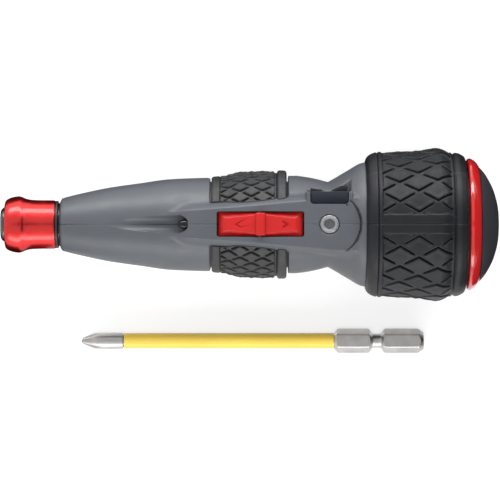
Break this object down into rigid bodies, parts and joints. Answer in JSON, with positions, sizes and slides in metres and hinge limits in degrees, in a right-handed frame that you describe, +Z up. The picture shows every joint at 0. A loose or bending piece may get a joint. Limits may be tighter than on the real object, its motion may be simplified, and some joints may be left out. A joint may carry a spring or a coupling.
{
  "type": "cordless screwdriver",
  "caption": "Ball-grip cordless screwdriver with hex bit holder, release sleeve, two-way rocker switch and covered charging port, with a long driver bit beside it.",
  "frame": {"origin": "centre of the seat magnet's face at the floor of the hex socket, where a bit's end rests", "axes": "+X along the screwdriver's axis towards its end cap, so -X points out of the socket's mouth; +Z up, the side of the rocker switch; the loose bit lies parallel on the -Y side"},
  "size_m": [0.1451, 0.06, 0.0446],
  "materials": {
    "housing_plastic": "fine-textured grey plastic",
    "grip_rubber": "moulded with diamond pads",
    "red_anodised": "red anodised, turned",
    "red_plastic": "smooth red",
    "cap_plastic": "smooth dark",
    "cover_rubber": "smooth dark",
    "clear_plastic": "frosted clear",
    "bright_steel": "turned",
    "hex_steel": "ground",
    "black_plastic": "moulded",
    "sintered_bronze": "sintered",
    "gear_plastic": "moulded",
    "magnet_black": "sintered",
    "copper": "bare",
    "board_green": "coated laminate",
    "cell_wrap": "film-wrapped",
    "wire_red": "insulation",
    "wire_black": "insulation",
    "jacket_yellow": "smooth yellow"
  },
  "bodies": {
    "housing": {"housing_left": "housing_plastic", "housing_right": "housing_plastic", "front_grip_left": "grip_rubber", "front_grip_right": "grip_rubber", "ball_grip_left": "grip_rubber", "ball_grip_right": "grip_rubber", "tail_ring": "red_plastic", "tail_cap": "cap_plastic", "indicator_lens": "clear_plastic", "indicator_lamp": "clear_plastic", "headlight": "clear_plastic", "housing_screw_front": "bright_steel", "housing_screw_middle": "bright_steel", "housing_screw_rear": "bright_steel", "motor_plate": "bright_steel", "motor_can": "bright_steel", "charging_port": "bright_steel", "rocker_pin": "bright_steel", "gearbox_nose": "black_plastic", "ring_gear": "black_plastic", "motor_end_bell": "black_plastic", "switch_base_front": "black_plastic", "switch_base_rear": "black_plastic", "front_bush": "sintered_bronze", "field_magnet_left": "magnet_black", "field_magnet_right": "magnet_black", "circuit_board": "board_green", "battery_cell": "cell_wrap", "motor_lead_red": "wire_red", "cell_lead_red": "wire_red", "motor_lead_black": "wire_black", "cell_lead_black": "wire_black", "headlight_lead": "wire_black"},
    "spindle": {"bit_holder": "bright_steel", "seat_magnet": "bright_steel", "nose_snap_ring": "bright_steel", "sleeve_washer": "bright_steel", "holder_clip": "bright_steel", "stop_ring": "black_plastic", "sleeve_spring": "bright_steel", "output_carrier": "bright_steel"},
    "sleeve": {"release_sleeve": "red_anodised"},
    "ball": {"retaining_ball": "bright_steel"},
    "first_carrier": {"first_carrier": "bright_steel"},
    "rotor": {"motor_shaft": "bright_steel", "motor_pinion": "bright_steel", "armature": "bright_steel", "commutator": "copper"},
    "rocker": {"rocker": "red_plastic"},
    "plunger_front": {"plunger_front": "black_plastic"},
    "plunger_rear": {"plunger_rear": "black_plastic"},
    "port_cover": {"port_cover": "cover_rubber"},
    "bit": {"driver_bit": "hex_steel", "bit_jacket": "jacket_yellow"},
    "first_planet_a": {"first_planet_a": "gear_plastic"},
    "first_planet_b": {"first_planet_b": "gear_plastic"},
    "first_planet_c": {"first_planet_c": "gear_plastic"},
    "second_planet_a": {"second_planet_a": "gear_plastic"},
    "second_planet_b": {"second_planet_b": "gear_plastic"},
    "second_planet_c": {"second_planet_c": "gear_plastic"}
  },
  "joints": [
    {"name": "spindle_spin", "type": "hinge", "parent": "housing", "child": "spindle", "pos_m": [0, 0, 0], "axis": [1, 0, 0], "continuous": true},
    {"name": "sleeve_slide", "type": "slide", "parent": "spindle", "child": "sleeve", "axis": [-1, 0, 0], "range_m": [0, 0.0025], "stiffness_N_per_m": 900, "springref_m": -0.004, "deforming": ["sleeve_spring"]},
    {"name": "ball_lift", "type": "slide", "parent": "spindle", "child": "ball", "axis": [0, 0, 1], "range_m": [0, 0.00045]},
    {"name": "first_carrier_spin", "type": "hinge", "parent": "housing", "child": "first_carrier", "pos_m": [0.0143, 0, 0], "axis": [1, 0, 0], "continuous": true},
    {"name": "rotor_spin", "type": "hinge", "parent": "housing", "child": "rotor", "pos_m": [0.0161, 0, 0], "axis": [1, 0, 0], "continuous": true},
    {"name": "rocker_tip", "type": "hinge", "parent": "housing", "child": "rocker", "pos_m": [0.0516, 0, 0.0129], "axis": [0, 1, 0], "range_deg": [-5, 5], "stiffness_Nm_per_rad": 0.25},
    {"name": "plunger_front_press", "type": "slide", "parent": "housing", "child": "plunger_front", "axis": [0, 0, 1], "range_m": [-0.00065, 0.00065]},
    {"name": "plunger_rear_press", "type": "slide", "parent": "housing", "child": "plunger_rear", "axis": [0, 0, 1], "range_m": [-0.00065, 0.00065]},
    {"name": "port_cover_flip", "type": "hinge", "parent": "housing", "child": "port_cover", "pos_m": [0.0714, 0.006, 0.0156], "axis": [1, 0, 0], "range_deg": [0, 100]},
    {"name": "bit_lift", "type": "slide", "parent": "housing", "child": "bit", "axis": [0, 0, 1], "range_m": [0, 0.06]},
    {"name": "first_planet_a_spin", "type": "hinge", "parent": "first_carrier", "child": "first_planet_a", "pos_m": [0.0161, 0, 0.0048], "axis": [1, 0, 0], "continuous": true},
    {"name": "first_planet_b_spin", "type": "hinge", "parent": "first_carrier", "child": "first_planet_b", "pos_m": [0.0161, -0.00416, -0.0024], "axis": [1, 0, 0], "continuous": true},
    {"name": "first_planet_c_spin", "type": "hinge", "parent": "first_carrier", "child": "first_planet_c", "pos_m": [0.0161, 0.00416, -0.0024], "axis": [1, 0, 0], "continuous": true},
    {"name": "second_planet_a_spin", "type": "hinge", "parent": "spindle", "child": "second_planet_a", "pos_m": [0.0108, 0, 0.0048], "axis": [1, 0, 0], "continuous": true},
    {"name": "second_planet_b_spin", "type": "hinge", "parent": "spindle", "child": "second_planet_b", "pos_m": [0.0108, -0.00416, -0.0024], "axis": [1, 0, 0], "continuous": true},
    {"name": "second_planet_c_spin", "type": "hinge", "parent": "spindle", "child": "second_planet_c", "pos_m": [0.0108, 0.00416, -0.0024], "axis": [1, 0, 0], "continuous": true}
  ],
  "couplings": [
    {"joint": "ball_lift", "follows": "sleeve_slide", "ratio": 0.1667},
    {"joint": "plunger_front_press", "follows": "rocker_tip", "m_per_rad": 0.007},
    {"joint": "plunger_rear_press", "follows": "rocker_tip", "m_per_rad": -0.007},
    {"joint": "first_carrier_spin", "follows": "rotor_spin", "ratio": 0.1875},
    {"joint": "spindle_spin", "follows": "rotor_spin", "ratio": 0.035156},
    {"joint": "second_planet_a_spin", "follows": "rotor_spin", "ratio": -0.091406},
    {"joint": "first_planet_a_spin", "follows": "rotor_spin", "ratio": -0.4875},
    {"joint": "second_planet_b_spin", "follows": "rotor_spin", "ratio": -0.091406},
    {"joint": "first_planet_b_spin", "follows": "rotor_spin", "ratio": -0.4875},
    {"joint": "second_planet_c_spin", "follows": "rotor_spin", "ratio": -0.091406},
    {"joint": "first_planet_c_spin", "follows": "rotor_spin", "ratio": -0.4875}
  ]
}
